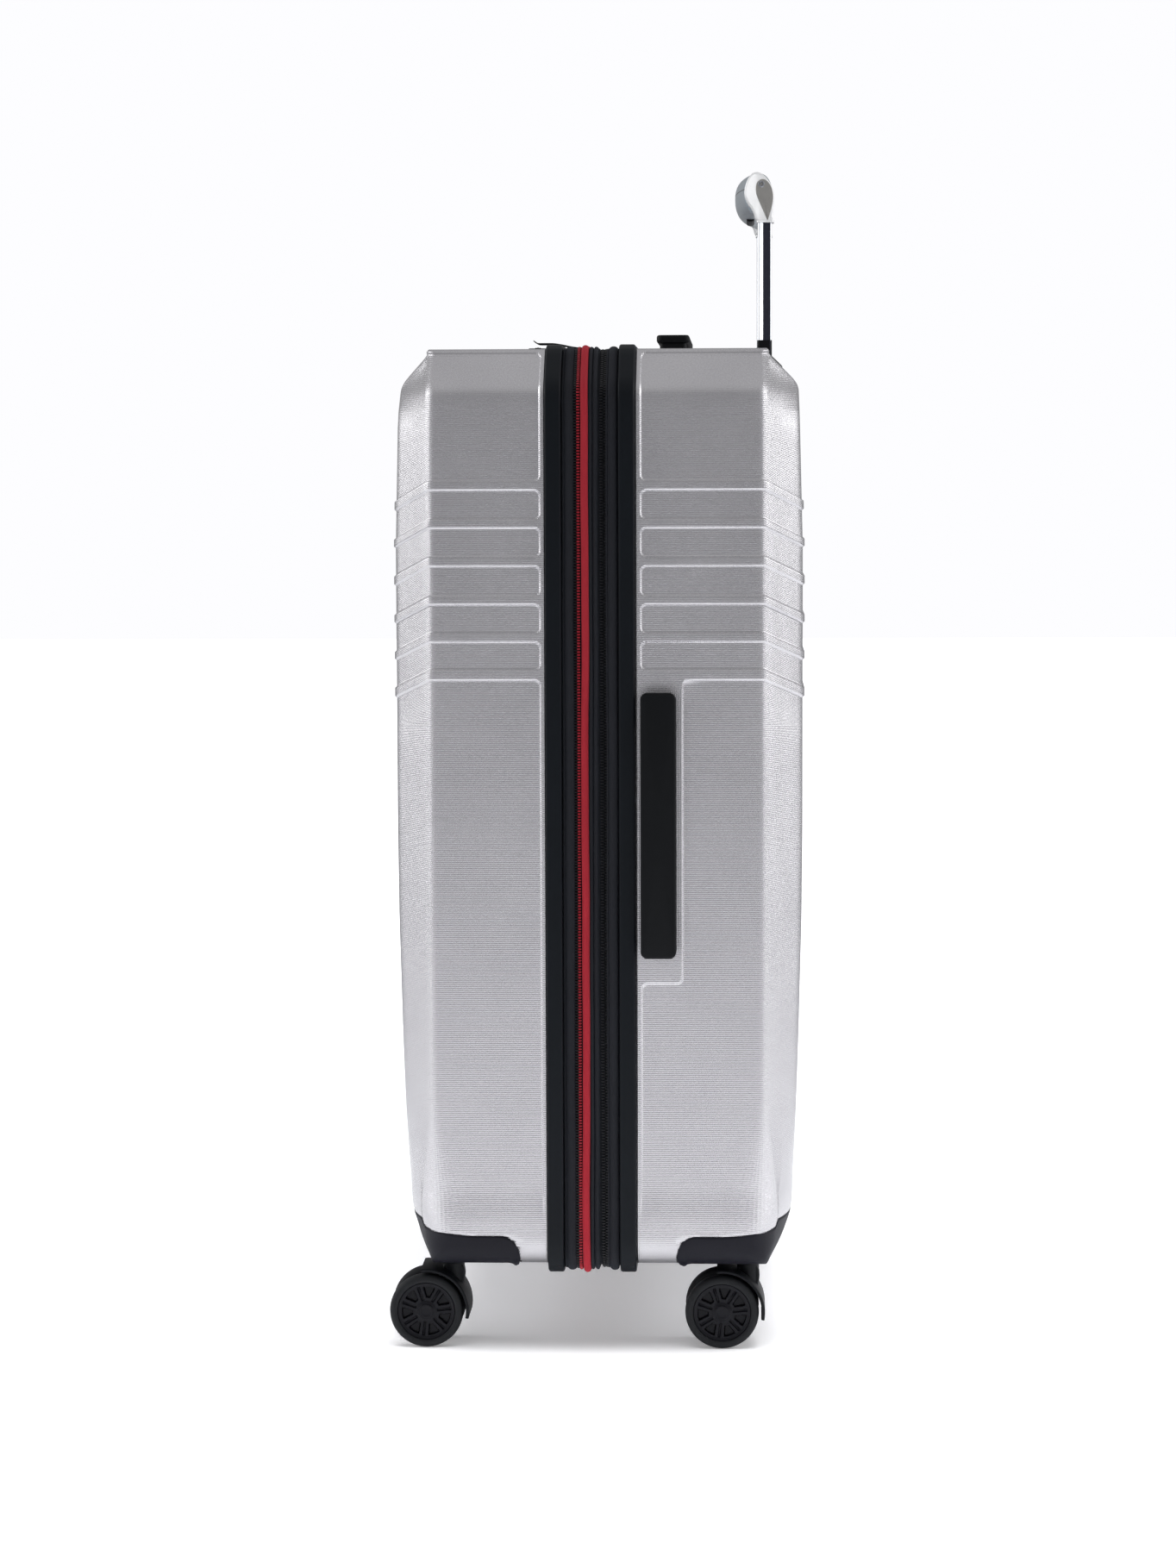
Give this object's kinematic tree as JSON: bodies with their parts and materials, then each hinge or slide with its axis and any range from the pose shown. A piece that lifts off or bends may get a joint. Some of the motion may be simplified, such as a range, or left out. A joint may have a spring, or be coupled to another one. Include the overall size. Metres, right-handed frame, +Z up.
{
  "type": "suitcase",
  "caption": "Large silver hard shell suitcase with zip band, side and top carry handles, telescopic pull handle and swivelling twin-wheel casters.",
  "frame": {"origin": "on the floor under the middle of the object's box", "axes": "+Z up; +X towards the rear shell, which carries the telescopic handle; -Y towards the side with the carry handle"},
  "size_m": [0.321, 0.5304, 0.92],
  "materials": {
    "shell": "silver polycarbonate with a fine diamond micro-texture, satin",
    "rim": "navy moulded plastic, lightly grained",
    "zip_fabric": "navy woven nylon tape and gusset cloth",
    "red_tape": "red woven zip tape",
    "lining": "grey woven lining",
    "black_plastic": "near-black moulded plastic, soft sheen",
    "tyre": "black over-moulded tread on a black hub",
    "tube": "clear anodised drawn tube",
    "grip": "satin silver",
    "steel": "zinc plated"
  },
  "bodies": {
    "rear_half": {"rear_shell": "shell", "rear_frame": "rim", "rear_zip_tape": "zip_fabric", "rear_lining": "lining", "housing_rear_near": "rim", "housing_rear_far": "rim", "trolley_outer_near": "tube", "trolley_outer_far": "tube", "trolley_base": "black_plastic", "trolley_tray": "black_plastic", "side_handle_tray": "black_plastic", "top_handle_tray": "black_plastic", "pack_strap_upper": "zip_fabric", "pack_strap_lower": "zip_fabric"},
    "zip_band": {"zip_ring": "red_tape", "gusset": "zip_fabric", "hinge_strip": "zip_fabric"},
    "front_half": {"front_shell": "shell", "front_frame": "rim", "front_zip_tape": "zip_fabric", "front_lining": "lining", "housing_front_near": "rim", "housing_front_far": "rim", "lock_body": "black_plastic"},
    "trolley": {"trolley_tube_near": "tube", "trolley_tube_far": "tube", "trolley_grip": "grip", "grip_cap_near": "grip", "grip_cap_far": "grip", "grip_screw_near": "steel", "grip_screw_far": "steel"},
    "grip_button": {"grip_button": "black_plastic"},
    "side_handle": {"side_handle_grip": "black_plastic"},
    "top_handle": {"top_handle_grip": "black_plastic"},
    "lock_button": {"lock_button": "steel"},
    "expansion_slider": {"expansion_slider": "steel"},
    "lock_dial_1": {"lock_dial_1": "steel"},
    "lock_dial_2": {"lock_dial_2": "steel"},
    "lock_dial_3": {"lock_dial_3": "steel"},
    "main_slider_near": {"main_slider_near": "steel"},
    "main_pull_near": {"main_pull_near": "steel"},
    "main_slider_far": {"main_slider_far": "steel"},
    "main_pull_far": {"main_pull_far": "steel"},
    "caster_front_near": {"fork_front_near": "black_plastic", "axle_front_near": "steel"},
    "wheel_front_near_outer": {"wheel_front_near_outer": "tyre"},
    "wheel_front_near_inner": {"wheel_front_near_inner": "tyre"},
    "caster_front_far": {"fork_front_far": "black_plastic", "axle_front_far": "steel"},
    "wheel_front_far_outer": {"wheel_front_far_outer": "tyre"},
    "wheel_front_far_inner": {"wheel_front_far_inner": "tyre"},
    "caster_rear_near": {"fork_rear_near": "black_plastic", "axle_rear_near": "steel"},
    "wheel_rear_near_outer": {"wheel_rear_near_outer": "tyre"},
    "wheel_rear_near_inner": {"wheel_rear_near_inner": "tyre"},
    "caster_rear_far": {"fork_rear_far": "black_plastic", "axle_rear_far": "steel"},
    "wheel_rear_far_outer": {"wheel_rear_far_outer": "tyre"},
    "wheel_rear_far_inner": {"wheel_rear_far_inner": "tyre"}
  },
  "joints": [
    {"name": "expansion_slide", "type": "slide", "parent": "rear_half", "child": "zip_band", "axis": [-1, 0, 0], "range_m": [0, 0.035]},
    {"name": "lid_hinge", "type": "hinge", "parent": "zip_band", "child": "front_half", "pos_m": [-0.012, 0.26625, 0.42], "axis": [0, 0, -1], "range_deg": [0, 180]},
    {"name": "trolley_slide", "type": "slide", "parent": "rear_half", "child": "trolley", "axis": [0, 0, 1], "range_m": [-0.146, 0.16]},
    {"name": "grip_button_press", "type": "slide", "parent": "trolley", "child": "grip_button", "axis": [0, 0, 1], "range_m": [0, 0.0035], "stiffness_N_per_m": 600, "springref_m": -0.003},
    {"name": "side_handle_pull", "type": "slide", "parent": "rear_half", "child": "side_handle", "axis": [0, -1, 0], "range_m": [0, 0.014], "stiffness_N_per_m": 300, "springref_m": -0.01},
    {"name": "top_handle_pull", "type": "slide", "parent": "rear_half", "child": "top_handle", "axis": [0, 0, 1], "range_m": [0, 0.014], "stiffness_N_per_m": 300, "springref_m": -0.01},
    {"name": "lock_button_press", "type": "slide", "parent": "front_half", "child": "lock_button", "axis": [0, 0, -1], "range_m": [0, 0.0015], "stiffness_N_per_m": 500, "springref_m": -0.002},
    {"name": "expansion_slider_run", "type": "slide", "parent": "rear_half", "child": "expansion_slider", "axis": [0, 1, 0], "range_m": [0, 0.25]},
    {"name": "lock_dial_1_turn", "type": "hinge", "parent": "front_half", "child": "lock_dial_1", "pos_m": [-0.0535, -0.01775, 0.7705], "axis": [0, 1, 0], "continuous": true},
    {"name": "lock_dial_2_turn", "type": "hinge", "parent": "front_half", "child": "lock_dial_2", "pos_m": [-0.0535, -0.00825, 0.7705], "axis": [0, 1, 0], "continuous": true},
    {"name": "lock_dial_3_turn", "type": "hinge", "parent": "front_half", "child": "lock_dial_3", "pos_m": [-0.0535, 0.00125, 0.7705], "axis": [0, 1, 0], "continuous": true},
    {"name": "main_slider_near_run", "type": "slide", "parent": "zip_band", "child": "main_slider_near", "axis": [0, -1, 0], "range_m": [0, 0.16]},
    {"name": "main_pull_near_swing", "type": "hinge", "parent": "main_slider_near", "child": "main_pull_near", "pos_m": [-0.012, -0.00775, 0.7765], "axis": [0, 1, 0], "range_deg": [0, 150]},
    {"name": "main_slider_far_run", "type": "slide", "parent": "zip_band", "child": "main_slider_far", "axis": [0, 1, 0], "range_m": [0, 0.16]},
    {"name": "main_pull_far_swing", "type": "hinge", "parent": "main_slider_far", "child": "main_pull_far", "pos_m": [-0.012, 0.01625, 0.7765], "axis": [0, 1, 0], "range_deg": [0, 150]},
    {"name": "swivel_front_near", "type": "hinge", "parent": "front_half", "child": "caster_front_near", "pos_m": [-0.112, -0.21275, 0.0727], "axis": [0, 0, 1], "continuous": true},
    {"name": "roll_front_near_outer", "type": "hinge", "parent": "caster_front_near", "child": "wheel_front_near_outer", "pos_m": [-0.132, -0.21275, 0.0285], "axis": [0, 1, 0], "continuous": true},
    {"name": "roll_front_near_inner", "type": "hinge", "parent": "caster_front_near", "child": "wheel_front_near_inner", "pos_m": [-0.132, -0.21275, 0.0285], "axis": [0, 1, 0], "continuous": true},
    {"name": "swivel_front_far", "type": "hinge", "parent": "front_half", "child": "caster_front_far", "pos_m": [-0.112, 0.22125, 0.0727], "axis": [0, 0, 1], "continuous": true},
    {"name": "roll_front_far_outer", "type": "hinge", "parent": "caster_front_far", "child": "wheel_front_far_outer", "pos_m": [-0.132, 0.22125, 0.0285], "axis": [0, 1, 0], "continuous": true},
    {"name": "roll_front_far_inner", "type": "hinge", "parent": "caster_front_far", "child": "wheel_front_far_inner", "pos_m": [-0.132, 0.22125, 0.0285], "axis": [0, 1, 0], "continuous": true},
    {"name": "swivel_rear_near", "type": "hinge", "parent": "rear_half", "child": "caster_rear_near", "pos_m": [0.117, -0.21275, 0.0727], "axis": [0, 0, 1], "continuous": true},
    {"name": "roll_rear_near_outer", "type": "hinge", "parent": "caster_rear_near", "child": "wheel_rear_near_outer", "pos_m": [0.097, -0.21275, 0.0285], "axis": [0, 1, 0], "continuous": true},
    {"name": "roll_rear_near_inner", "type": "hinge", "parent": "caster_rear_near", "child": "wheel_rear_near_inner", "pos_m": [0.097, -0.21275, 0.0285], "axis": [0, 1, 0], "continuous": true},
    {"name": "swivel_rear_far", "type": "hinge", "parent": "rear_half", "child": "caster_rear_far", "pos_m": [0.117, 0.22125, 0.0727], "axis": [0, 0, 1], "continuous": true},
    {"name": "roll_rear_far_outer", "type": "hinge", "parent": "caster_rear_far", "child": "wheel_rear_far_outer", "pos_m": [0.097, 0.22125, 0.0285], "axis": [0, 1, 0], "continuous": true},
    {"name": "roll_rear_far_inner", "type": "hinge", "parent": "caster_rear_far", "child": "wheel_rear_far_inner", "pos_m": [0.097, 0.22125, 0.0285], "axis": [0, 1, 0], "continuous": true}
  ]
}
